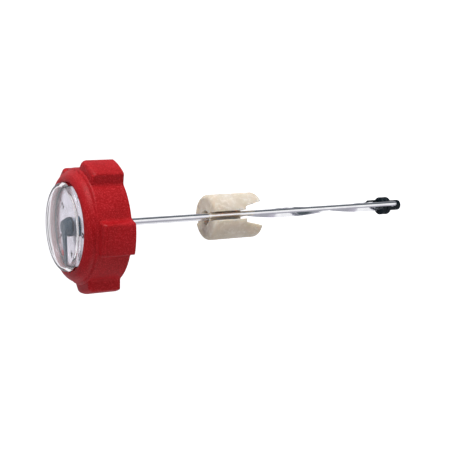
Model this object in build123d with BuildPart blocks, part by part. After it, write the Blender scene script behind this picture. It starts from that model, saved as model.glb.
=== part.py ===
"""Screw-on tank cap with a float level gauge.

The origin is the centre of the face that seals on the tank neck. +Z points up, out of the tank,
so the dial and its lens stand above the seat and the stem hangs below it.
The guide rod stands on the -Y side of the axis.
"""
import os
from math import cos, hypot, radians, sin

from build123d import *

# Cap shell
lobe_count = 5
lobe_phase = 32.4
lobe_height = 5.3
lobe_root_width = 19.2
lobe_tip_width = 16.6
lobe_edge_round = 1.6
lobe_front_round = 3
lobe_root_round = 2.4
lobe_root_reach = 1.8
lobe_root_drop = 1.1
lobe_top_z = 3.9
lobe_bevel_drop = 0.7
seat_step = 2.9
skirt_wall = 2.8
skirt_depth = 15.0
shoulder_z = 4.3
shoulder_round = 1.4
bezel_foot_z = 5.2
bezel_foot_set_in = 1.5
bezel_bulge_wall = 2.7
bezel_bulge_z = 8.1
bezel_top_width = 1.5
bezel_top_z = 9.9
bezel_lip = 1.9
bezel_mouth_chamfer = 0.6
rim_chamfer = 0.8
core_wall = 2.4
core_top_z = -3.5
core_round = 1.0

# Lens
lens_radius = 24.7
lens_wall = 1.8
lens_gap = 0.2
lens_side_z = 13.0
lens_crown_z = 15.3
lens_edge_round = 2.2
lens_flange_width = 2.1
lens_flange_height = 1.5

# Seat, gaskets and the ring that holds the gauge in the cap
neck_gasket_height = 2.0
neck_gasket_width = 7.1
neck_gasket_gap = 0.3
lens_gasket_height = 1.1
lens_gasket_width = 3.6
ring_height = 1.2
ring_bite = 1.0
ring_reach = 1.4
ring_mouth = 7.0
ring_gap = 0.1

# Gauge base, dial and the boss that carries the stem
base_gap = 0.2
base_flange_height = 1.2
dial_gap = 0.5
dial_height = 0.4
dial_step = 0.9
dial_hole_gap = 0.8
boss_wall = 2.6
boss_length = 16.2
socket_wall = 2.7
rib_count = 6
rib_thickness = 1.4
rib_set_in = 5.3
rib_height = 2.6
recess_gap = 0.3
recess_depth = 2.9

# Spindle and what it turns in
spindle_radius = 2.0
spindle_gap = 0.05
bush_wall = 2.0
bush_length = 6.0
bush_flange_width = 1.4
bush_flange_height = 1.2
seal_section_radius = 0.8
seal_height = 2.0
washer_width = 1.6
washer_height = 0.5
clip_width = 1.4
clip_height = 0.6
clip_groove_depth = 0.5
clip_mouth = 2.6
clip_clearance = 0.02
barrel_gap = 0.065
barrel_length = 8.0
strip_seat_depth = 6.6
end_play = 0.3
rivet_height = 3.6
rivet_radius = 0.7
rivet_head_radius = 1.2
rivet_head_height = 0.5

# Pointer
pointer_bearing = 173.0
pointer_set_in = 2.4
pointer_root_width = 5.0
pointer_tip_width = 1.6
pointer_nose = 1.0
pointer_arm_height = 1.3
hub_base_wall = 3.4
hub_top_wall = 1.8
hub_height = 3.9
hub_band = 0.8
hub_gap = 0.3
hub_roof = 0.8

# Vent valve in the base
valve_set_in = 12.3
valve_head_radius = 4.4
valve_head_height = 1.2
valve_crown_radius = 2.6
valve_edge = 0.3
valve_stem_radius = 1.2
valve_bulb_radius = 1.9
valve_bulb_height = 0.7
valve_recess_radius = 3.8
valve_recess_depth = 1.2
valve_gap = 0.1
vent_radius = 0.8
vent_distance = 2.6

# Guide rod
rod_radius = 1.5
rod_distance = 7.4
rod_gap = 0.02
rod_bend_radius = 2.6
rod_hook_drop = 1.0
rod_hook_end = 0.9
retainer_width = 1.2
retainer_height = 0.5
retainer_gap = 0.2
retainer_recess_depth = 1.7
rod_top_stand = 0.4

# Twisted strip
strip_width = 5.8
strip_thickness = 0.9
strip_bearing = 58.0
turn_per_mm = 2.93
slot_gap = 0.03
strip_end_gap = 0.4
pivot_width = 2.4
pivot_length = 4.6
pivot_gap = 0.07

# Float
float_radius = 13.6
float_length = 33.6
float_top_z = -77.6
float_round = 2.4
float_bore_gap = 1.365
float_turn = -5.0
float_web = 2.4
groove_side_gap = 0.95
rod_run_gap = 0.35
back_groove_depth = 4.0
notch_depth = 12.4
notch_root_gap = 0.35
notch_mouth_gap = 1.75
slit_end_gap = 0.4
slit_side_gap = 0.45

# Foot
foot_top_z = -207.0
foot_radius = 5.65
foot_height = 6.0
foot_waist_depth = 0.9
foot_waist_height = 1.2
foot_round = 0.6
foot_tip_radius = 3.3
foot_tip_step = 1.0
foot_tip_length = 10.0
foot_tip_round = 1.0
tip_waist_depth = 0.4
tip_waist_height = 0.8
tip_waist_drop = 4.6
cradle_height = 8.3
cradle_wall = 0.9
cradle_gap = 0.315
cradle_start = 0.0
cradle_arc = 125.0

# Heights and radii that follow from the sizes above
rim_z = -skirt_depth
base_radius = lens_radius + lens_flange_width
cavity_radius = base_radius + base_gap
bore_radius = cavity_radius + seat_step
skirt_radius = bore_radius + skirt_wall
lobe_radius = skirt_radius + lobe_height
bezel_foot_radius = skirt_radius - bezel_foot_set_in
bezel_bulge_radius = cavity_radius + bezel_bulge_wall
bezel_top_radius = lens_radius + lens_gap + bezel_top_width
lobe_flare = (lobe_root_width - lobe_tip_width) / 2 / lobe_height
lobe_slope = lobe_bevel_drop / lobe_height
lobe_sink = skirt_wall / 2
lobe_inner_radius = skirt_radius - lobe_sink
lip_under_z = bezel_top_z - bezel_lip
lens_rise = lens_crown_z - lens_side_z
lens_seat_z = lip_under_z - lens_flange_height
base_ledge_z = lens_seat_z - lens_gasket_height
base_under_z = base_ledge_z - base_flange_height
dial_seat_z = base_ledge_z + dial_step
dial_top_z = dial_seat_z + dial_height
neck_gasket_radius = bore_radius - neck_gasket_gap
dial_radius = lens_radius - lens_wall - dial_gap
dial_hole_radius = spindle_radius + dial_hole_gap
bush_radius = spindle_radius + bush_wall
bush_flange_radius = bush_radius + bush_flange_width
boss_radius = bush_radius + boss_wall
socket_radius = rod_radius + socket_wall
retainer_radius = rod_radius + retainer_width
retainer_recess_radius = retainer_radius + retainer_gap
washer_radius = spindle_radius + washer_width
clip_radius = spindle_radius + clip_width
recess_radius = washer_radius + recess_gap
hub_base_radius = spindle_radius + hub_base_wall
hub_top_radius = spindle_radius + hub_top_wall
rib_reach = base_radius - rib_set_in
valve_distance = base_radius - valve_set_in
pointer_length = dial_radius - pointer_set_in
strip_reach = hypot(strip_width, strip_thickness) / 2
barrel_radius = strip_reach + barrel_gap
float_bore_radius = strip_reach + float_bore_gap
slit_length = strip_width + 2 * slit_end_gap
slit_width = strip_thickness + 2 * slit_side_gap
groove_width = 2 * (rod_radius + groove_side_gap)
pivot_hole_radius = hypot(pivot_width, strip_thickness) / 2 + pivot_gap
cradle_radius = strip_reach + cradle_gap
cradle_outer_radius = cradle_radius + cradle_wall
notch_root_width = 2 * (cradle_outer_radius + notch_root_gap)
notch_mouth_width = 2 * (foot_radius + notch_mouth_gap)
boss_end_z = base_under_z - boss_length
ring_top_z = base_under_z
ring_under_z = ring_top_z - ring_height
hub_base_z = dial_top_z + hub_gap
hub_top_z = hub_base_z + hub_height
spindle_top_z = hub_top_z - hub_roof
recess_floor_z = dial_seat_z - recess_depth
clip_under_z = recess_floor_z + washer_height
valve_floor_z = dial_seat_z - valve_recess_depth
bush_top_z = boss_end_z + bush_length
barrel_top_z = boss_end_z - bush_flange_height - end_play
barrel_end_z = barrel_top_z - barrel_length
strip_top_z = barrel_end_z + strip_seat_depth
rivet_z = barrel_end_z + rivet_height
float_end_z = float_top_z - float_length
notch_root_z = float_end_z + notch_depth
twist_start_z = notch_root_z + float_web / 2
strip_end_z = foot_top_z + strip_end_gap
foot_end_z = foot_top_z - foot_height
tip_end_z = foot_end_z - foot_tip_length
hook_z = foot_end_z - rod_hook_drop - rod_radius
retainer_under_z = dial_seat_z - retainer_recess_depth
rod_top_z = retainer_under_z + retainer_height + rod_top_stand
strip_twist = turn_per_mm * (twist_start_z - strip_end_z)

# Two lengths this close are taken as the same when a vertex or an edge is picked
match = 0.01

os.makedirs("parts", exist_ok=True)


def dome_radius(reach, rise):
    """The radius of a dome that rises by rise between its edge, at reach, and the axis."""
    return (reach**2 + rise**2) / (2 * rise)


# Grip lobe: one of the five, a tapered block with a rounded front and soft edges
with BuildPart() as lobe:
    with BuildSketch(Plane.XY.offset(rim_z)):
        Polygon(
            (lobe_inner_radius, lobe_root_width / 2 + lobe_flare * lobe_sink),
            (lobe_radius + lobe_sink, lobe_tip_width / 2 - lobe_flare * lobe_sink),
            (lobe_radius + lobe_sink, lobe_flare * lobe_sink - lobe_tip_width / 2),
            (lobe_inner_radius, -lobe_root_width / 2 - lobe_flare * lobe_sink),
            align=None,
        )
    extrude(amount=bezel_top_z - rim_z)
    with BuildSketch(Plane.XZ) as lobe_profile:
        with BuildLine():
            Polyline(
                (0, rim_z),
                (lobe_radius, rim_z),
                (lobe_radius, lobe_top_z - lobe_bevel_drop),
                (lobe_inner_radius - lobe_sink, lobe_top_z + 2 * lobe_sink * lobe_slope),
                (0, lobe_top_z + 2 * lobe_sink * lobe_slope),
                close=True,
            )
        make_face()
        front_corner = lobe_profile.vertices().filter_by(
            lambda v: abs(v.X - lobe_radius) < match and v.Y > 0
        )
        fillet(front_corner, lobe_front_round)
    revolve(axis=Axis.Z, mode=Mode.INTERSECT)
    lobe_edges = lobe.edges().filter_by(
        lambda edge: edge.center().X > lobe_inner_radius + match and edge.center().Z > rim_z + match
    )
    fillet(lobe_edges.filter_by(lambda edge: edge.length < lobe_root_width * 2), lobe_edge_round)

# Lobe roots: the skirt blended into the flanks of the lobes
with BuildPart() as lobe_roots:
    with BuildSketch(Plane.XY.offset(rim_z)) as root_plan:
        with PolarLocations(0, lobe_count, start_angle=lobe_phase):
            Polygon(
                (0, lobe_root_width / 2 + lobe_flare * skirt_radius),
                (lobe_radius, lobe_tip_width / 2),
                (lobe_radius, -lobe_tip_width / 2),
                (0, -lobe_root_width / 2 - lobe_flare * skirt_radius),
                align=None,
            )
        Circle(skirt_radius)
        root_corners = root_plan.vertices().filter_by(
            lambda v: abs(hypot(v.X, v.Y) - skirt_radius) < match
        )
        fillet(root_corners, lobe_root_round)
        Circle(skirt_radius + lobe_root_reach, mode=Mode.INTERSECT)
    extrude(amount=lobe_top_z - rim_z)
    with BuildSketch(Plane.XZ):
        with BuildLine():
            Polyline(
                (0, rim_z),
                (skirt_radius + lobe_root_reach, rim_z),
                (skirt_radius + lobe_root_reach, lobe_top_z - lobe_root_drop - lobe_root_reach),
                (skirt_radius, lobe_top_z - lobe_root_drop),
                (0, lobe_top_z - lobe_root_drop),
                close=True,
            )
        make_face()
    revolve(axis=Axis.Z, mode=Mode.INTERSECT)

# Cap shell: one moulding with the skirt, the lobes and the bezel that holds the lens
with BuildPart() as cap_shell:
    with BuildSketch(Plane.XZ) as shell_profile:
        with BuildLine():
            Polyline(
                (0, rim_z),
                (skirt_radius, rim_z),
                (skirt_radius, shoulder_z),
                (bezel_foot_radius, bezel_foot_z),
            )
            ThreePointArc(
                (bezel_foot_radius, bezel_foot_z),
                (bezel_bulge_radius, bezel_bulge_z),
                (bezel_top_radius, bezel_top_z),
            )
            Polyline((bezel_top_radius, bezel_top_z), (0, bezel_top_z), (0, rim_z))
        make_face()
        shoulder = shell_profile.vertices().filter_by(
            lambda v: abs(v.X - skirt_radius) < match and v.Y > 0
        )
        fillet(shoulder, shoulder_round)
    revolve(axis=Axis.Z)
    add(lobe_roots.part)
    with PolarLocations(0, lobe_count, start_angle=lobe_phase):
        add(lobe.part)
    with BuildSketch(Plane.XZ):
        with BuildLine():
            Polyline(
                (0, rim_z),
                (bore_radius + rim_chamfer, rim_z),
                (bore_radius, rim_z + rim_chamfer),
                (bore_radius, neck_gasket_height),
                (cavity_radius, neck_gasket_height),
                (cavity_radius, ring_under_z),
                (cavity_radius + ring_bite, ring_under_z),
                (cavity_radius + ring_bite, ring_top_z),
                (cavity_radius, ring_top_z),
                (cavity_radius, lip_under_z),
                (lens_radius + lens_gap, lip_under_z),
                (lens_radius + lens_gap, bezel_top_z - bezel_mouth_chamfer),
                (lens_radius + lens_gap + bezel_mouth_chamfer, bezel_top_z),
                (0, bezel_top_z),
                close=True,
            )
        make_face()
    revolve(axis=Axis.Z, mode=Mode.SUBTRACT)
    with BuildSketch(Plane.XY.offset(rim_z)) as lobe_cores:
        with PolarLocations(0, lobe_count, start_angle=lobe_phase):
            with Locations((skirt_radius + (lobe_radius - skirt_radius - core_wall) / 2, 0)):
                Rectangle(lobe_radius - skirt_radius - core_wall, lobe_tip_width - 2 * core_wall)
        fillet(lobe_cores.vertices(), core_round)
    extrude(amount=core_top_z - rim_z, mode=Mode.SUBTRACT)
cap_shell.part.label = "cap_shell"

# Lens: a clear moulded dome with a flange that the bezel holds down
with BuildPart() as lens:
    with BuildSketch(Plane.XZ) as lens_profile:
        with BuildLine():
            Polyline(
                (0, lens_seat_z),
                (lens_radius + lens_flange_width, lens_seat_z),
                (lens_radius + lens_flange_width, lip_under_z),
                (lens_radius, lip_under_z),
                (lens_radius, lens_side_z),
            )
            RadiusArc((lens_radius, lens_side_z), (0, lens_crown_z), -dome_radius(lens_radius, lens_rise))
            Line((0, lens_crown_z), (0, lens_seat_z))
        make_face()
        lens_edge = lens_profile.vertices().filter_by(
            lambda v: abs(v.X - lens_radius) < match and v.Y > lip_under_z + match
        )
        fillet(lens_edge, lens_edge_round)
    revolve(axis=Axis.Z)
    with BuildSketch(Plane.XZ) as lens_hollow:
        with BuildLine():
            Polyline(
                (0, lens_seat_z),
                (lens_radius - lens_wall, lens_seat_z),
                (lens_radius - lens_wall, lens_side_z - lens_wall),
            )
            RadiusArc(
                (lens_radius - lens_wall, lens_side_z - lens_wall),
                (0, lens_crown_z - lens_wall),
                -dome_radius(lens_radius - lens_wall, lens_rise),
            )
            Line((0, lens_crown_z - lens_wall), (0, lens_seat_z))
        make_face()
        hollow_edge = lens_hollow.vertices().filter_by(
            lambda v: abs(v.X - lens_radius + lens_wall) < match and v.Y > lens_seat_z + match
        )
        fillet(hollow_edge, lens_edge_round - lens_wall / 2)
    revolve(axis=Axis.Z, mode=Mode.SUBTRACT)
lens.part.label = "lens"

# Lens gasket: a flat rubber ring between the base and the flange of the lens
with BuildPart() as lens_gasket:
    with BuildSketch(Plane.XY.offset(base_ledge_z)):
        Circle(base_radius)
        Circle(base_radius - lens_gasket_width, mode=Mode.SUBTRACT)
    extrude(amount=lens_gasket_height)
lens_gasket.part.label = "lens_gasket"

# Neck gasket: the flat rubber ring that seals on the tank neck
with BuildPart() as neck_gasket:
    with BuildSketch():
        Circle(neck_gasket_radius)
        Circle(neck_gasket_radius - neck_gasket_width, mode=Mode.SUBTRACT)
    extrude(amount=neck_gasket_height)
neck_gasket.part.label = "neck_gasket"

# Retaining ring: a split ring sprung into the groove of the shell, under the base
with BuildPart() as retaining_ring:
    with BuildSketch(Plane.XY.offset(ring_under_z)):
        Circle(cavity_radius + ring_bite - ring_gap)
        Circle(cavity_radius - ring_reach, mode=Mode.SUBTRACT)
        with Locations((0, cavity_radius)):
            Rectangle(ring_mouth, 3 * (ring_bite + ring_reach), mode=Mode.SUBTRACT)
    extrude(amount=ring_height)
retaining_ring.part.label = "retaining_ring"

# Gauge base: the moulded floor of the dial chamber, with ribs and the boss that carries the stem
with BuildPart() as gauge_base:
    with BuildSketch(Plane.XY.offset(base_under_z)):
        Circle(base_radius)
    extrude(amount=base_flange_height)
    with BuildSketch(Plane.XY.offset(base_ledge_z)):
        Circle(dial_radius)
    extrude(amount=dial_step)
    with BuildSketch(Plane.XY.offset(boss_end_z)):
        Circle(boss_radius)
        with Locations((0, -rod_distance)):
            Circle(socket_radius)
        make_hull()
    extrude(amount=boss_length)
    with BuildSketch(Plane.XY.offset(base_under_z - rib_height)):
        with PolarLocations(rib_reach / 2, rib_count):
            Rectangle(rib_reach, rib_thickness)
    extrude(amount=rib_height)
    with BuildSketch(Plane.XY.offset(boss_end_z)):
        Circle(spindle_radius + spindle_gap)
    extrude(amount=dial_seat_z - boss_end_z, mode=Mode.SUBTRACT)
    with BuildSketch(Plane.XY.offset(boss_end_z)):
        Circle(bush_radius)
    extrude(amount=bush_length + seal_height, mode=Mode.SUBTRACT)
    with BuildSketch(Plane.XY.offset(recess_floor_z)):
        Circle(recess_radius)
    extrude(amount=recess_depth, mode=Mode.SUBTRACT)
    with BuildSketch(Plane.XY.offset(boss_end_z)):
        with Locations((0, -rod_distance)):
            Circle(rod_radius + rod_gap)
    extrude(amount=dial_seat_z - boss_end_z, mode=Mode.SUBTRACT)
    with BuildSketch(Plane.XY.offset(retainer_under_z)):
        with Locations((0, -rod_distance)):
            Circle(retainer_recess_radius)
    extrude(amount=dial_seat_z - retainer_under_z, mode=Mode.SUBTRACT)
    with BuildSketch(Plane.XY.offset(base_under_z)):
        with Locations((0, valve_distance)):
            Circle(valve_stem_radius + valve_gap)
            with PolarLocations(vent_distance, 2):
                Circle(vent_radius)
    extrude(amount=dial_seat_z - base_under_z, mode=Mode.SUBTRACT)
    with BuildSketch(Plane.XY.offset(valve_floor_z)):
        with Locations((0, valve_distance)):
            Circle(valve_recess_radius)
    extrude(amount=valve_recess_depth, mode=Mode.SUBTRACT)
gauge_base.part.label = "gauge_base"

# Vent valve: a rubber umbrella whose bulb snaps through the floor of the base
with BuildPart() as vent_valve:
    with BuildSketch(Plane.XZ.offset(-valve_distance)):
        with BuildLine():
            Polyline(
                (0, base_under_z - valve_head_height),
                (valve_crown_radius, base_under_z - valve_head_height),
                (valve_head_radius, base_under_z - valve_edge),
                (valve_head_radius, base_under_z),
                (valve_stem_radius, base_under_z),
                (valve_stem_radius, valve_floor_z),
                (valve_bulb_radius, valve_floor_z),
                (valve_stem_radius, valve_floor_z + valve_bulb_height),
                (0, valve_floor_z + valve_bulb_height),
                close=True,
            )
        make_face()
    revolve(axis=Axis((0, valve_distance, 0), (0, 0, 1)))
vent_valve.part.label = "vent_valve"

# Dial plate: a thin metal disc on the raised floor of the base
with BuildPart() as dial_plate:
    with BuildSketch(Plane.XY.offset(dial_seat_z)):
        Circle(dial_radius)
        Circle(dial_hole_radius, mode=Mode.SUBTRACT)
    extrude(amount=dial_height)
dial_plate.part.label = "dial_plate"

# Upper bush: the flanged bearing pressed into the end of the boss
with BuildPart() as upper_bush:
    with BuildSketch(Plane.XY.offset(boss_end_z - bush_flange_height)):
        Circle(bush_flange_radius)
    extrude(amount=bush_flange_height)
    with BuildSketch(Plane.XY.offset(boss_end_z)):
        Circle(bush_radius)
    extrude(amount=bush_length)
    with BuildSketch(Plane.XY.offset(boss_end_z - bush_flange_height)):
        Circle(spindle_radius + spindle_gap)
        with Locations((0, -rod_distance)):
            Circle(rod_radius + rod_run_gap)
    extrude(amount=bush_flange_height + bush_length, mode=Mode.SUBTRACT)
upper_bush.part.label = "upper_bush"

# Spindle seal: a rubber O-ring above the bush
with BuildPart() as spindle_seal:
    with BuildSketch(Plane.XZ):
        with Locations((spindle_radius + spindle_gap + seal_section_radius, bush_top_z + seal_height / 2)):
            Circle(seal_section_radius)
    revolve(axis=Axis.Z)
spindle_seal.part.label = "spindle_seal"

# Thrust washer: carries the clip in the recess of the base
with BuildPart() as thrust_washer:
    with BuildSketch(Plane.XY.offset(recess_floor_z)):
        Circle(washer_radius)
        Circle(spindle_radius + spindle_gap, mode=Mode.SUBTRACT)
    extrude(amount=washer_height)
thrust_washer.part.label = "thrust_washer"

# Rod retainer: a push-on spring washer that locks the top of the guide rod
with BuildPart() as rod_retainer:
    with BuildSketch(Plane.XY.offset(retainer_under_z)):
        with Locations((0, -rod_distance)):
            Circle(retainer_radius)
            Circle(rod_radius + rod_gap, mode=Mode.SUBTRACT)
    extrude(amount=retainer_height)
rod_retainer.part.label = "rod_retainer"

# Guide rod: a straight wire whose lower end is hooked into the foot
with BuildPart() as guide_rod:
    with BuildLine() as rod_line:
        FilletPolyline(
            (0, -rod_distance, rod_top_z),
            (0, -rod_distance, hook_z),
            (0, -rod_hook_end, hook_z),
            radius=rod_bend_radius,
        )
    with BuildSketch(Plane(origin=(0, -rod_distance, rod_top_z), z_dir=(0, 0, -1))):
        Circle(rod_radius)
    sweep(path=rod_line.wires()[0])
guide_rod.part.label = "guide_rod"

# Foot: the moulded lower bearing, with a waisted body, a cradle for the strip and a hooked-in tip
with BuildPart() as foot:
    with BuildSketch(Plane.XZ) as foot_profile:
        with BuildLine():
            Polyline(
                (0, foot_top_z),
                (foot_radius, foot_top_z),
                (foot_radius, foot_top_z - (foot_height - foot_waist_height) / 2),
                (foot_radius - foot_waist_depth, foot_top_z - foot_height / 2),
                (foot_radius, foot_end_z + (foot_height - foot_waist_height) / 2),
                (foot_radius, foot_end_z),
                (foot_tip_radius, foot_end_z - foot_tip_step),
                (foot_tip_radius, foot_end_z - tip_waist_drop),
                (foot_tip_radius - tip_waist_depth, foot_end_z - tip_waist_drop - tip_waist_height / 2),
                (foot_tip_radius, foot_end_z - tip_waist_drop - tip_waist_height),
                (foot_tip_radius, tip_end_z),
                (0, tip_end_z),
                close=True,
            )
        make_face()
        shoulders = foot_profile.vertices().filter_by(lambda v: abs(v.X - foot_radius) < match)
        fillet(shoulders, foot_round)
        tip_edge = foot_profile.vertices().filter_by(
            lambda v: abs(v.X - foot_tip_radius) < match and abs(v.Y - tip_end_z) < match
        )
        fillet(tip_edge, foot_tip_round)
    revolve(axis=Axis.Z)
    with BuildSketch(Plane.XY.offset(foot_top_z)):
        with BuildLine():
            CenterArc((0, 0), cradle_radius, cradle_start, cradle_arc)
            CenterArc((0, 0), cradle_outer_radius, cradle_start, cradle_arc)
            cradle_ends = [cradle_start, cradle_start + cradle_arc]
            for bearing in cradle_ends:
                side = Vector(cos(radians(bearing)), sin(radians(bearing)))
                Line(side * cradle_radius, side * cradle_outer_radius)
        make_face()
    extrude(amount=cradle_height)
    with BuildSketch(Plane.XY.offset(foot_top_z - pivot_length - end_play)):
        Circle(pivot_hole_radius)
    extrude(amount=pivot_length + end_play, mode=Mode.SUBTRACT)
    with BuildSketch(Plane.XZ.offset(rod_hook_end)):
        with Locations((0, hook_z)):
            Circle(rod_radius + rod_gap)
    extrude(amount=rod_distance, mode=Mode.SUBTRACT)
foot.part.label = "foot"

# Float: a foam cylinder, bored for the strip, grooved for the rod and notched to pass the foot
with BuildPart() as float_body:
    with BuildSketch(Plane.XY.offset(float_end_z)):
        Circle(float_radius)
    extrude(amount=float_length)
    fillet(float_body.edges().filter_by(GeomType.CIRCLE), float_round)
    with BuildSketch(Plane.XY.offset(notch_root_z + float_web)):
        Circle(float_bore_radius)
    extrude(amount=float_length, mode=Mode.SUBTRACT)
    with BuildSketch(Plane.XY.offset(float_end_z).rotated((0, 0, float_turn))):
        groove_floor = rod_distance - rod_radius - rod_run_gap
        with Locations((0, -groove_floor - float_radius / 2)):
            Rectangle(groove_width, float_radius)
        with Locations((0, float_radius - back_groove_depth + float_radius / 2)):
            Rectangle(groove_width, float_radius)
    extrude(amount=float_length, mode=Mode.SUBTRACT)
    with BuildSketch(Plane.XZ.rotated((0, 0, float_turn))):
        with BuildLine():
            Polyline(
                (-notch_mouth_width / 2, float_end_z),
                (-notch_root_width / 2, notch_root_z),
                (notch_root_width / 2, notch_root_z),
                (notch_mouth_width / 2, float_end_z),
                close=True,
            )
        make_face()
    extrude(amount=float_radius, both=True, mode=Mode.SUBTRACT)
    with BuildSketch(Plane.XY.offset(notch_root_z).rotated((0, 0, strip_bearing))):
        Rectangle(slit_length, slit_width)
    extrude(amount=float_web, mode=Mode.SUBTRACT)
float_body.part.label = "float"

# Spindle: a steel pin that turns in the base, with a slotted barrel for the strip
with BuildPart() as spindle:
    with BuildSketch(Plane.XY.offset(barrel_top_z)):
        Circle(spindle_radius)
    extrude(amount=spindle_top_z - barrel_top_z)
    with BuildSketch(Plane.XY.offset(barrel_end_z)):
        Circle(barrel_radius)
    extrude(amount=barrel_length)
    with BuildSketch(Plane.XY.offset(clip_under_z)):
        Circle(spindle_radius)
        Circle(spindle_radius - clip_groove_depth, mode=Mode.SUBTRACT)
    extrude(amount=clip_height + 2 * clip_clearance, mode=Mode.SUBTRACT)
    with BuildSketch(Plane.XY.offset(barrel_end_z).rotated((0, 0, strip_bearing))):
        Rectangle(3 * barrel_radius, strip_thickness + 2 * slot_gap)
    extrude(amount=strip_top_z - barrel_end_z, mode=Mode.SUBTRACT)
    with BuildSketch(Plane.XZ.rotated((0, 0, strip_bearing))):
        with Locations((0, rivet_z)):
            Circle(rivet_radius)
    extrude(amount=barrel_radius, both=True, mode=Mode.SUBTRACT)
spindle.part.label = "spindle"

# Spindle clip: the spring ring in the groove of the spindle, resting on the thrust washer
with BuildPart() as spindle_clip:
    with BuildSketch(Plane.XY.offset(clip_under_z + clip_clearance)):
        Circle(clip_radius)
        Circle(spindle_radius - clip_groove_depth + slot_gap, mode=Mode.SUBTRACT)
        with Locations((clip_radius, 0)):
            Rectangle(2 * clip_radius, clip_mouth, mode=Mode.SUBTRACT)
    extrude(amount=clip_height)
spindle_clip.part.label = "spindle_clip"

# Strip rivet: holds the strip in the slot of the spindle
with BuildPart() as strip_rivet:
    with BuildSketch(Plane.XZ.rotated((0, 0, strip_bearing))):
        with Locations((0, rivet_z)):
            Circle(rivet_radius)
    extrude(amount=barrel_radius, both=True)
    for side in (-barrel_radius, barrel_radius + rivet_head_height):
        with BuildSketch(Plane.XZ.rotated((0, 0, strip_bearing)).offset(side)):
            with Locations((0, rivet_z)):
                Circle(rivet_head_radius)
        extrude(amount=-rivet_head_height)
strip_rivet.part.label = "strip_rivet"

# Twisted strip: flat at the top, one steady left-hand twist, then the tang that turns in the foot
strip_section = Rectangle(strip_width, strip_thickness)
with BuildPart() as twisted_strip:
    with BuildSketch(Plane.XY.offset(twist_start_z).rotated((0, 0, strip_bearing))):
        Rectangle(strip_width, strip_thickness)
    extrude(amount=strip_top_z - twist_start_z)
    twist_parts = 4
    for step in range(twist_parts):
        step_length = (twist_start_z - strip_end_z) / twist_parts
        step_top = Vector(0, 0, twist_start_z - step * step_length)
        step_bearing = strip_bearing + step * strip_twist / twist_parts
        step_plane = Plane(step_top).rotated((0, 0, step_bearing))
        add(
            Solid.extrude_linear_with_rotation(
                (step_plane * strip_section).face(),
                center=step_top,
                normal=Vector(0, 0, -step_length),
                angle=-strip_twist / twist_parts,
            )
        )
    with BuildSketch(Plane.XY.offset(strip_end_z).rotated((0, 0, strip_bearing + strip_twist))):
        Rectangle(pivot_width, strip_thickness)
    extrude(amount=-pivot_length)
    with BuildSketch(Plane.XZ.rotated((0, 0, strip_bearing))):
        with Locations((0, rivet_z)):
            Circle(rivet_radius)
    extrude(amount=strip_thickness, both=True, mode=Mode.SUBTRACT)
twisted_strip.part.label = "twisted_strip"

# Pointer: a moulded hub on the spindle with one tapering arm
with BuildPart() as pointer:
    with BuildSketch(Plane.XZ):
        with BuildLine():
            Polyline(
                (0, hub_base_z),
                (hub_base_radius, hub_base_z),
                (hub_base_radius, hub_base_z + hub_band),
                (hub_top_radius, hub_top_z),
                (0, hub_top_z),
                close=True,
            )
        make_face()
    revolve(axis=Axis.Z)
    with BuildSketch(Plane.XY.offset(hub_top_z - pointer_arm_height).rotated((0, 0, pointer_bearing))):
        with BuildLine():
            Polyline(
                (0, pointer_root_width / 2),
                (pointer_length - pointer_nose, pointer_tip_width / 2),
                (pointer_length, 0),
                (pointer_length - pointer_nose, -pointer_tip_width / 2),
                (0, -pointer_root_width / 2),
                close=True,
            )
        make_face()
    extrude(amount=pointer_arm_height)
    with BuildSketch(Plane.XY.offset(hub_base_z)):
        Circle(spindle_radius)
    extrude(amount=spindle_top_z - hub_base_z, mode=Mode.SUBTRACT)
pointer.part.label = "pointer"

pieces = [
    cap_shell,
    lens,
    lens_gasket,
    neck_gasket,
    retaining_ring,
    gauge_base,
    vent_valve,
    dial_plate,
    upper_bush,
    spindle_seal,
    thrust_washer,
    rod_retainer,
    guide_rod,
    foot,
    float_body,
    spindle,
    spindle_clip,
    strip_rivet,
    twisted_strip,
    pointer,
]
for piece in pieces:
    export_step(piece.part, f"parts/{piece.part.label}.step")
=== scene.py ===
from math import cos, radians, sin

import bpy
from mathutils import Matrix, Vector


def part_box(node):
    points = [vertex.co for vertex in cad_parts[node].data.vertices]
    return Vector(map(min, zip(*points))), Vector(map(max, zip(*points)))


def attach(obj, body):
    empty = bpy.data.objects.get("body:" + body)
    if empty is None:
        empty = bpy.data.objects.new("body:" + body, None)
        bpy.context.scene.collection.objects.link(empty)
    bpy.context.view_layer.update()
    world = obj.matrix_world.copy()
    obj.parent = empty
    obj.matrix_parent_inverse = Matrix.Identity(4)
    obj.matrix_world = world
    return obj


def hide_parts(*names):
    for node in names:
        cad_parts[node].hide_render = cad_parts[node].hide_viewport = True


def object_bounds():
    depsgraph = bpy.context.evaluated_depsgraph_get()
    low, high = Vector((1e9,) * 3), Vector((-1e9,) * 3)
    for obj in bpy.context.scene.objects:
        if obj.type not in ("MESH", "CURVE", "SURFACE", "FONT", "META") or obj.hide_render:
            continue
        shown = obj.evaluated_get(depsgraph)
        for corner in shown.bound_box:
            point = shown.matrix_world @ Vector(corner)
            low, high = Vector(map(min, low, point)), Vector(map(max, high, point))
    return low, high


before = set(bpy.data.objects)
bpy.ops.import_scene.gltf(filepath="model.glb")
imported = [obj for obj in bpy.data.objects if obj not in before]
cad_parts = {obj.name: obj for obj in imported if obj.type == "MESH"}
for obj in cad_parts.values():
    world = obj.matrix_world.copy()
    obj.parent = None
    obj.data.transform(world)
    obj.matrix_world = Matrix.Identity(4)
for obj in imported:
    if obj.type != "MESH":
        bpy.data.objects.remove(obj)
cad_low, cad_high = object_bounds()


# Cap shell. One injection moulding in red polypropylene: the skirt, five grip lobes and the
# bezel round the lens. The mould leaves it semi-matt, with a fine sparked grain.
weld = 0.000002


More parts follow.
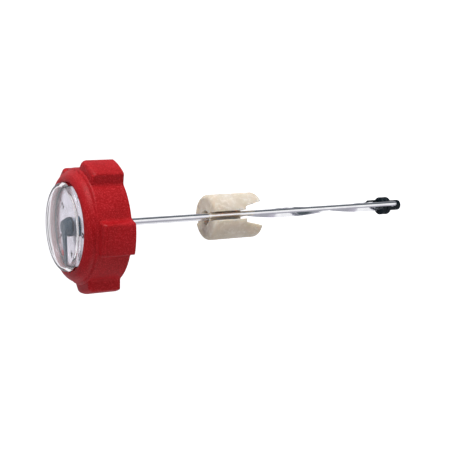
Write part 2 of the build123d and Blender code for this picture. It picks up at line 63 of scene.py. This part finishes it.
def skin(node, body, crease=32):
    """Lays a welded copy over a CAD node, smooth along its curves and crisp at its edges."""
    piece = bpy.data.objects.new(node + "_skin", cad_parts[node].data.copy())
    bpy.context.scene.collection.objects.link(piece)
    piece.data.materials.clear()
    bpy.ops.object.select_all(action="DESELECT")
    piece.select_set(True)
    bpy.context.view_layer.objects.active = piece
    bpy.ops.mesh.customdata_custom_splitnormals_clear()
    bpy.ops.object.mode_set(mode="EDIT")
    bpy.ops.mesh.select_all(action="SELECT")
    bpy.ops.mesh.remove_doubles(threshold=weld)
    bpy.ops.object.mode_set(mode="OBJECT")
    bpy.ops.object.shade_smooth_by_angle(angle=radians(crease))
    bpy.ops.object.modifier_add(type="WEIGHTED_NORMAL")
    piece.modifiers[-1].keep_sharp = True
    bpy.ops.object.modifier_apply(modifier=piece.modifiers[-1].name)
    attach(piece, body)
    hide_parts(node)
    return piece


class Wire:
    """One value in a material. Sums, differences and products of it add Math nodes."""

    def __init__(self, tree, socket=None):
        self.tree = tree
        self.socket = socket

    def node(self, kind, settings=None, inputs=None, output=0):
        """Adds a node: its settings or stops come first, then the values or links of its sockets."""
        made = self.tree.nodes.new(kind)
        for name, value in (settings or {}).items():
            if name == "stops":
                self.set_stops(made.color_ramp.elements, value)
            else:
                setattr(made, name, value)
        for name, value in (inputs or {}).items():
            if isinstance(value, Wire):
                self.tree.links.new(value.socket, made.inputs[name])
            else:
                made.inputs[name].default_value = value
        return Wire(self.tree, made.outputs[output])

    def set_stops(self, stops, wanted):
        while len(stops) < len(wanted):
            stops.new(0.5)
        for stop, (position, colour) in zip(stops, wanted):
            stop.position = position
            stop.color = colour

    def maths(self, operation, first, second):
        return self.node("ShaderNodeMath", {"operation": operation}, {0: first, 1: second})

    def __add__(self, other):
        return self.maths("ADD", self, other)

    def __radd__(self, other):
        return self.maths("ADD", other, self)

    def __sub__(self, other):
        return self.maths("SUBTRACT", self, other)

    def __rsub__(self, other):
        return self.maths("SUBTRACT", other, self)

    def __mul__(self, other):
        return self.maths("MULTIPLY", self, other)

    def __rmul__(self, other):
        return self.maths("MULTIPLY", other, self)

    def feed(self, shader, socket):
        self.tree.links.new(self.socket, shader.inputs[socket])


def material(name, **constants):
    """A new material, its shader, and the object coordinates that its patterns start from."""
    made = bpy.data.materials.new(name)
    made.use_nodes = True
    shader = made.node_tree.nodes["Principled BSDF"]
    for socket, value in constants.items():
        shader.inputs[socket.replace("_", " ")].default_value = value
    place = Wire(made.node_tree).node("ShaderNodeTexCoord", output="Object")
    return made, shader, place


def noise(place, scale, detail=2.0, roughness=0.5):
    return place.node(
        "ShaderNodeTexNoise",
        None,
        {"Vector": place, "Scale": scale, "Detail": detail, "Roughness": roughness},
    )


def ramp(value, low, high, to_low=0.0, to_high=1.0):
    """Spreads the values between low and high over a new range."""
    return value.node(
        "ShaderNodeMapRange",
        {"interpolation_type": "SMOOTHSTEP"},
        {"Value": value, "From Min": low, "From Max": high, "To Min": to_low, "To Max": to_high},
    )


def mix(mask, low, high):
    """Goes from one colour to another by a mask. Mix has its colours at 6 and 7, and out at 2."""
    return mask.node("ShaderNodeMix", {"data_type": "RGBA"}, {0: mask, 6: low, 7: high}, output=2)


def bump(height, strength, distance):
    return height.node(
        "ShaderNodeBump",
        None,
        {"Height": height, "Strength": strength, "Distance": distance},
    )


red_plastic, shader, place = material("red_polypropylene", Specular_IOR_Level=0.15)
grain = noise(place, 1500, 3.0, 0.6)
flow = noise(place, 70)
deep = mix(ramp(flow, 0.35, 0.65), (0.31, 0.0015, 0.003, 1), (0.37, 0.003, 0.006, 1))
speckle = ramp(grain, 0.46, 0.68) * 0.8
mix(speckle, deep, (0.60, 0.03, 0.038, 1)).feed(shader, "Base Color")
ramp(flow + grain * 0.5, 0.5, 1.0, 0.36, 0.52).feed(shader, "Roughness")
bump(grain, 0.32, 0.00012).feed(shader, "Normal")

shell = skin("cap_shell", "cap")
shell.data.materials.append(red_plastic)

# Neck thread. A coarse right-hand ridge of two turns inside the skirt, moulded in one with it,
# that draws the cap down on the tank neck. Its section is a low wedge with a flat crest.
wall_radius = 0.02995
crest_radius = 0.0288
root_height = 0.0019
crest_height = 0.0006
crest_drop = 0.00005
height_above_rim = 0.0016
pitch = 0.0042
turns = 2
steps_a_turn = 72
half_way = (wall_radius + crest_radius) / 2
root_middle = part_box("cap_shell")[0].z + height_above_rim + root_height / 2
bpy.ops.object.select_all(action="DESELECT")
bpy.ops.mesh.primitive_plane_add(
    size=1,
    location=(half_way, 0, root_middle),
    rotation=(radians(90), 0, 0),
)
thread = bpy.context.active_object
thread.name = "neck_thread"
thread.scale = (wall_radius - crest_radius, root_height, 1)
bpy.ops.object.transform_apply(location=True, rotation=True, scale=True)
bpy.ops.object.mode_set(mode="EDIT")
bpy.ops.mesh.select_all(action="DESELECT")
bpy.ops.object.mode_set(mode="OBJECT")
for corner in thread.data.vertices:
    corner.select = corner.co.x < half_way
bpy.ops.object.mode_set(mode="EDIT")
bpy.ops.transform.resize(
    value=(1, 1, crest_height / root_height),
    center_override=(crest_radius, 0, root_middle),
)
bpy.ops.transform.translate(value=(0, 0, -crest_drop))
bpy.ops.object.mode_set(mode="OBJECT")
bpy.ops.object.modifier_add(type="SCREW")
turning = thread.modifiers[-1]
turning.angle = radians(360 * turns)
turning.screw_offset = pitch * turns
turning.steps = turning.render_steps = steps_a_turn * turns
bpy.ops.object.modifier_apply(modifier=turning.name)
bpy.ops.object.mode_set(mode="EDIT")
bpy.ops.mesh.select_all(action="SELECT")
bpy.ops.mesh.remove_doubles(threshold=weld)
bpy.ops.mesh.fill_holes(sides=4)
bpy.ops.mesh.normals_make_consistent(inside=False)
bpy.ops.object.mode_set(mode="OBJECT")
bpy.ops.object.shade_smooth_by_angle(angle=radians(40))
thread.data.materials.append(red_plastic)
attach(thread, "cap")

# Lens. A clear moulding in thick acrylic with a rounded front edge; its flange is clamped
# between the bezel and a rubber ring, so only the polished dome shows.
clear, shader, place = material(
    "clear_acrylic",
    Base_Color=(0.98, 0.97, 1.0, 1),
    Transmission_Weight=1.0,
    IOR=1.37,
)
ramp(noise(place, 60), 0.4, 0.7, 0.0, 0.03).feed(shader, "Roughness")
lens = skin("lens", "cap", crease=40)
lens.data.materials.append(clear)

# Dial plate. A thin aluminium disc with a bright, finely turned face, dropped on the raised
# floor of the base.
bright, shader, place = material("turned_aluminium", Metallic=0.92)
flow = noise(place, 130, 3.0)
rings = place.node(
    "ShaderNodeTexWave",
    {"wave_type": "RINGS", "rings_direction": "Z"},
    {"Vector": place, "Scale": 700, "Distortion": 1.5, "Detail": 2.0},
    output="Fac",
)
mix(ramp(flow, 0.35, 0.7), (0.77, 0.76, 0.81, 1), (0.89, 0.87, 0.93, 1)).feed(shader, "Base Color")
ramp(flow * 0.5 + rings * 0.5, 0.2, 0.8, 0.16, 0.3).feed(shader, "Roughness")
bump(rings, 0.1, 0.00003).feed(shader, "Normal")
dial = skin("dial_plate", "cap")
dial.data.materials.append(bright)

# Scale of the dial. Printed in dark ink: a stroke at each eighth and a number at each quarter,
# from 0 when the float is at the foot to 4 when it is at the top of the twist.
ink, shader, place = material("dial_ink", Roughness=0.5)
blots = ramp(noise(place, 2500), 0.3, 0.7)
mix(blots, (0.02, 0.012, 0.018, 1), (0.05, 0.02, 0.03, 1)).feed(shader, "Base Color")
dial_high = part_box("dial_plate")[1]
face = dial_high.z
edge_of_dial = dial_high.x
empty_bearing = -117
sweep = 290
ink_thickness = 0.00004
ink_middle = face + ink_thickness / 2
stroke_margin = 0.0012
stroke_width = 0.0009
long_stroke = 0.0028
short_stroke = 0.0016
number_size = 0.0054
number_weight = 0.00022
number_reach = edge_of_dial - 0.0074
marks = []
for length, eighths in ((long_stroke, (0, 2, 4, 6, 8)), (short_stroke, (1, 3, 5, 7))):
    bpy.ops.object.select_all(action="DESELECT")
    bpy.ops.mesh.primitive_cube_add(
        size=1,
        location=(edge_of_dial - stroke_margin - length / 2, 0, ink_middle),
        scale=(length, stroke_width, ink_thickness),
    )
    stroke = bpy.context.active_object
    bpy.ops.object.transform_apply(location=True, rotation=True, scale=True)
    for eighth in eighths:
        bpy.ops.object.select_all(action="DESELECT")
        mark = bpy.data.objects.new("stroke", stroke.data.copy())
        bpy.context.scene.collection.objects.link(mark)
        mark.select_set(True)
        bpy.context.view_layer.objects.active = mark
        mark.rotation_euler.z = radians(empty_bearing + sweep * eighth / 8)
        bpy.ops.object.transform_apply(location=True, rotation=True, scale=True)
        marks.append(mark)
    bpy.data.objects.remove(stroke)
for quarter in range(5):
    bearing = radians(empty_bearing + sweep * quarter / 4)
    bpy.ops.object.select_all(action="DESELECT")
    bpy.ops.object.text_add()
    number = bpy.context.active_object
    number.data.body = str(quarter)
    number.data.size = number_size
    number.data.offset = number_weight
    number.data.extrude = ink_thickness / 2
    number.data.align_x = "CENTER"
    number.data.align_y = "CENTER"
    bpy.ops.object.convert(target="MESH")
    number = bpy.context.active_object
    number.rotation_euler = (0, 0, bearing - radians(90))
    number.location = (number_reach * cos(bearing), number_reach * sin(bearing), ink_middle)
    bpy.ops.object.transform_apply(location=True, rotation=True, scale=True)
    marks.append(number)
bpy.ops.object.select_all(action="DESELECT")
for mark in marks:
    mark.select_set(True)
bpy.context.view_layer.objects.active = marks[0]
bpy.ops.object.join()
dial_scale = bpy.context.active_object
dial_scale.name = "dial_scale"
dial_scale.data.materials.clear()
dial_scale.data.materials.append(ink)
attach(dial_scale, "cap")

# Red spot. A small domed dot of red enamel, laid on the dial between 3 and 4 and hardened there
# with a glossy skin.
enamel, shader, place = material("red_enamel", Coat_Weight=0.4)
tint = ramp(noise(place, 900), 0.3, 0.7)
mix(tint, (0.55, 0.03, 0.04, 1), (0.66, 0.05, 0.06, 1)).feed(shader, "Base Color")
ramp(noise(place, 1400), 0.3, 0.7, 0.28, 0.4).feed(shader, "Roughness")
spot_bearing = radians(128)
spot_reach = 0.0202
spot_radius = 0.0018
spot_flatness = 0.25
middle_below_face = 0.00006
foot_below_face = 0.00002
cut_threshold = 0.000001
bpy.ops.object.select_all(action="DESELECT")
bpy.ops.mesh.primitive_uv_sphere_add(segments=32, ring_count=16, radius=spot_radius)
spot = bpy.context.active_object
spot.name = "red_spot"
spot.scale = (1, 1, spot_flatness)
spot.location = (
    spot_reach * cos(spot_bearing),
    spot_reach * sin(spot_bearing),
    face - middle_below_face,
)
bpy.ops.object.transform_apply(location=True, rotation=True, scale=True)
bpy.ops.object.mode_set(mode="EDIT")
bpy.ops.mesh.select_all(action="SELECT")
bpy.ops.mesh.bisect(
    plane_co=(0, 0, face - foot_below_face),
    plane_no=(0, 0, -1),
    clear_outer=True,
    threshold=cut_threshold,
)
bpy.ops.mesh.select_all(action="SELECT")
bpy.ops.mesh.fill_holes(sides=0)
bpy.ops.object.mode_set(mode="OBJECT")
bpy.ops.object.shade_smooth_by_angle(angle=radians(40))
spot.data.materials.append(enamel)
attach(spot, "cap")

# Pointer. A dark grey moulding pressed on the spindle: a tapered hub and one arm that narrows
# to its tip.
slate, shader, place = material("slate_plastic", Specular_IOR_Level=0.25)
grain = noise(place, 1800)
mix(ramp(grain, 0.35, 0.65), (0.030, 0.062, 0.088, 1), (0.050, 0.092, 0.125, 1)).feed(shader, "Base Color")
ramp(grain, 0.3, 0.7, 0.38, 0.5).feed(shader, "Roughness")
bump(grain, 0.2, 0.00005).feed(shader, "Normal")
pointer = skin("pointer", "indicator")
pointer.data.materials.append(slate)

# Guide rod. Bright drawn steel wire, 3 mm thick, hooked into the foot; drawing leaves faint
# streaks along it.
drawn, shader, place = material("drawn_steel", Metallic=1.0)
along = place.node("ShaderNodeMapping", None, {"Vector": place, "Scale": (1.0, 1.0, 0.02)})
streaks = noise(along, 2600, 3.0)
patches = noise(place, 160, 3.0)
mix(ramp(patches, 0.35, 0.7), (0.82, 0.82, 0.85, 1), (0.92, 0.92, 0.94, 1)).feed(shader, "Base Color")
ramp(streaks * 0.7 + patches * 0.3, 0.3, 0.7, 0.08, 0.17).feed(shader, "Roughness")
bump(streaks, 0.12, 0.00003).feed(shader, "Normal")
rod = skin("guide_rod", "cap")
rod.data.materials.append(drawn)

# Twisted strip. Bright rolled steel, flat at the top and twisted below the float, that turns
# inside the slit of the float. The spindle and the rivet that joins the two are as bright.
rolled, shader, place = material("rolled_steel", Metallic=1.0)
along = place.node("ShaderNodeMapping", None, {"Vector": place, "Scale": (1.0, 1.0, 0.05)})
streaks = noise(along, 1500, 3.0)
patches = noise(place, 90, 3.0)
mix(ramp(patches, 0.35, 0.7), (0.80, 0.80, 0.83, 1), (0.90, 0.90, 0.93, 1)).feed(shader, "Base Color")
ramp(streaks * 0.5 + patches * 0.5, 0.3, 0.7, 0.08, 0.16).feed(shader, "Roughness")
bump(streaks, 0.1, 0.00004).feed(shader, "Normal")
strip = skin("twisted_strip", "indicator", crease=50)
strip.data.materials.append(rolled)
for node in ("spindle", "strip_rivet"):
    part = skin(node, "indicator")
    part.data.materials.append(rolled)

# Float. Cut from a block of tan closed-cell foam: the edges are soft, the faces slightly lumpy,
# and cut cells leave a fine mottle.
foam, shader, place = material(
    "tan_foam",
    Specular_IOR_Level=0.2,
    Subsurface_Weight=0.8,
    Subsurface_Radius=(1.0, 0.8, 0.6),
    Subsurface_Scale=0.009,
)
mottle = noise(place, 420, 4.0, 0.62)
patches = noise(place, 95, 3.0)
cells = place.node("ShaderNodeTexVoronoi", {"feature": "F1"}, {"Vector": place, "Scale": 1500.0})
shade = mix(ramp(patches, 0.36, 0.66), (0.57, 0.495, 0.395, 1), (0.65, 0.575, 0.475, 1))
open_cells = ramp(mottle, 0.47, 0.68) * 0.75
mix(open_cells, shade, (0.74, 0.685, 0.61, 1)).feed(shader, "Base Color")
ramp(mottle, 0.3, 0.7, 0.75, 0.92).feed(shader, "Roughness")
bump(mottle * 0.7 + cells * 0.4, 0.4, 0.00018).feed(shader, "Normal")
voxel = 0.0003
edge_rounds = 3
lump_width = 0.003
lump_depth = 0.00014
float_block = skin("float", "float")
bpy.ops.object.modifier_add(type="REMESH")
remesh = float_block.modifiers[-1]
remesh.mode = "VOXEL"
remesh.voxel_size = voxel
bpy.ops.object.modifier_apply(modifier=remesh.name)
bpy.ops.object.modifier_add(type="SMOOTH")
soft = float_block.modifiers[-1]
soft.iterations = edge_rounds
bpy.ops.object.modifier_apply(modifier=soft.name)
lumps = bpy.data.textures.new("foam_lumps", "CLOUDS")
lumps.noise_scale = lump_width
lumps.noise_depth = 3
bpy.ops.object.modifier_add(type="DISPLACE")
relief = float_block.modifiers[-1]
relief.texture = lumps
relief.texture_coords = "LOCAL"
relief.strength = lump_depth
relief.mid_level = 1.0
bpy.ops.object.modifier_apply(modifier=relief.name)
bpy.ops.object.shade_smooth()
float_block.data.materials.clear()
float_block.data.materials.append(foam)

# Foot. Black moulded plastic: the lower bearing of the strip, with a cradle round it and the
# hole that takes the hook of the rod.
black_plastic, shader, place = material("black_plastic", Specular_IOR_Level=0.15)
grain = noise(place, 1700)
mix(ramp(grain, 0.35, 0.65), (0.0015, 0.005, 0.008, 1), (0.004, 0.012, 0.016, 1)).feed(shader, "Base Color")
ramp(grain, 0.3, 0.7, 0.3, 0.45).feed(shader, "Roughness")
bump(grain, 0.25, 0.00006).feed(shader, "Normal")
foot = skin("foot", "cap")
foot.data.materials.append(black_plastic)

# Gauge base. The black moulded floor of the dial chamber, with ribs and the boss that carries
# the rod and the spindle; it shows inside the skirt from below.
base = skin("gauge_base", "cap")
base.data.materials.append(black_plastic)

# Bearings. Natural acetal, turned from bar: the bush in the end of the boss, and the washer
# that the clip of the spindle runs on.
acetal, shader, place = material("acetal", Specular_IOR_Level=0.5)
tint = ramp(noise(place, 700), 0.3, 0.7)
mix(tint, (0.70, 0.68, 0.63, 1), (0.78, 0.76, 0.71, 1)).feed(shader, "Base Color")
ramp(noise(place, 1500), 0.3, 0.7, 0.35, 0.5).feed(shader, "Roughness")
for node in ("upper_bush", "thrust_washer"):
    part = skin(node, "cap")
    part.data.materials.append(acetal)

# Seals. Black nitrile rubber: the flat ring that seals on the neck, the ring under the lens,
# the O-ring of the spindle and the umbrella of the vent.
rubber, shader, place = material("nitrile_rubber", Specular_IOR_Level=0.3)
grain = noise(place, 1100, 3.0)
mix(ramp(grain, 0.3, 0.7), (0.012, 0.012, 0.013, 1), (0.03, 0.03, 0.032, 1)).feed(shader, "Base Color")
ramp(grain, 0.3, 0.7, 0.6, 0.8).feed(shader, "Roughness")
bump(grain, 0.3, 0.0001).feed(shader, "Normal")
for node in ("neck_gasket", "lens_gasket", "spindle_seal", "vent_valve"):
    part = skin(node, "cap")
    part.data.materials.append(rubber)

# Spring parts. Plain spring steel, stamped and left as it comes: the split ring that holds the
# base, the push-on washer of the rod and the clip of the spindle.
spring, shader, place = material("spring_steel", Metallic=1.0)
patches = noise(place, 400, 3.0)
mix(ramp(patches, 0.3, 0.7), (0.32, 0.31, 0.30, 1), (0.48, 0.47, 0.46, 1)).feed(shader, "Base Color")
ramp(patches, 0.3, 0.7, 0.3, 0.5).feed(shader, "Roughness")
for node, body in (("retaining_ring", "cap"), ("rod_retainer", "cap"), ("spindle_clip", "indicator")):
    part = skin(node, body)
    part.data.materials.append(spring)

# Floor. A plain pale sheet some way below the gauge, bright enough to show white. To polished
# metal it glows with painted reflections of a studio round the gauge, grey, white and nearly black in turn
# by bearing.
floor_gap = 0.06
floor_width = 12
bpy.ops.object.select_all(action="DESELECT")
bpy.ops.mesh.primitive_plane_add(size=floor_width, location=(0, 0, cad_low.z - floor_gap))
floor = bpy.context.active_object
floor.name = "floor"


def ray(tree, kind):
    """Is 1 for one kind of ray and 0 for the others."""
    return Wire(tree).node("ShaderNodeLightPath", output="Is " + kind + " Ray")


pale, shader, place = material("pale_floor", Roughness=0.9, Emission_Strength=1.0)
bearing = place.node("ShaderNodeTexGradient", {"gradient_type": "RADIAL"}, {"Vector": place}, output="Fac")
# Painted reflection: these stops glow on the floor only for reflected rays, white and near-black bands by
# bearing round the gauge.
painted_reflection_stops = [
    (0.00, (0.46, 0.44, 0.50, 1)),
    (0.07, (0.52, 0.50, 0.57, 1)),
    (0.10, (1.00, 1.00, 1.00, 1)),
    (0.29, (1.00, 1.00, 1.00, 1)),
    (0.32, (0.03, 0.05, 0.06, 1)),
    (0.43, (0.03, 0.05, 0.06, 1)),
    (0.50, (0.30, 0.31, 0.34, 1)),
    (0.74, (0.40, 0.40, 0.44, 1)),
]
painted_reflection_bands = bearing.node("ShaderNodeValToRGB", {"stops": painted_reflection_stops}, {"Fac": bearing})
through = ray(pale.node_tree, "Transmission")
mirrored = ray(pale.node_tree, "Glossy") * (1 - through)
seen = ray(pale.node_tree, "Camera") + through
mix(mirrored, (0.8, 0.8, 0.8, 1), (0, 0, 0, 1)).feed(shader, "Base Color")
glow = mix(seen, (0, 0, 0, 1), (0.72, 0.72, 0.72, 1))
mix(mirrored, glow, painted_reflection_bands).feed(shader, "Emission Color")
floor.data.materials.append(pale)

# Light. A strong soft box on one side and two weak ones, by the camera and on the other side.
# The room lights the gauge an even pale grey, and polished surfaces also show painted reflections
# of a dark wall high up behind the gauge and a darker one behind the camera, seen by reflected rays only.
aim = Vector((0, 0, -0.06))
for name, lamp_place, width, power in (
    ("key", (0.66, -0.38, 0.22), 0.5, 5.8),
    ("front", (0.10, -0.80, 0.40), 0.45, 0.25),
    ("fill", (-0.68, -0.08, 0.02), 0.5, 0.9),
):
    bpy.ops.object.light_add(type="AREA", location=lamp_place)
    lamp = bpy.context.active_object
    lamp.name = name
    lamp.data.size = width
    lamp.data.energy = power
    lamp.rotation_euler = (aim - lamp.location).to_track_quat("-Z", "Y").to_euler()
world = bpy.data.worlds.new("room")
bpy.context.scene.world = world
world.use_nodes = True
sky = world.node_tree.nodes["Background"]
glossy = ray(world.node_tree, "Glossy")
seen = ray(world.node_tree, "Camera") + ray(world.node_tree, "Transmission")
toward = seen.node("ShaderNodeTexCoord", output="Object")
toward_back = toward.node("ShaderNodeSeparateXYZ", None, {"Vector": toward}, output="Y")
upward = toward.node("ShaderNodeSeparateXYZ", None, {"Vector": toward}, output="Z")
# Painted reflection: dark walls up behind the gauge and behind the camera, seen only by glossy rays and
# lighting nothing.
painted_back_reflection = ramp(upward, 0.25, 0.45) * ramp(toward_back, 0.2, 0.7)
painted_front_reflection = ramp(toward_back, -0.85, -0.5, 1.0, 0.0)
mirror = mix(painted_back_reflection, (0.95, 0.93, 1.0, 1), (0.2, 0.2, 0.25, 1))
mirror = mix(painted_front_reflection, mirror, (0.14, 0.15, 0.18, 1))
room = mix(glossy, (0.38, 0.38, 0.41, 1), mirror)
mix(seen, room, (1, 1, 1, 1)).feed(sky, "Color")

# Camera. A long lens, looking down on the gauge from the side of the rod. It is rolled on its
# side, so the upright gauge lies across the view.
bpy.ops.object.camera_add(location=(-0.071648, -0.543954, 0.221393))
camera = bpy.context.active_object
camera.rotation_euler = (radians(-7.220), radians(60.101), radians(-105.276))
camera.data.sensor_width = 36
camera.data.lens = 84.31
bpy.context.scene.camera = camera
bpy.context.scene.view_settings.view_transform = "Standard"
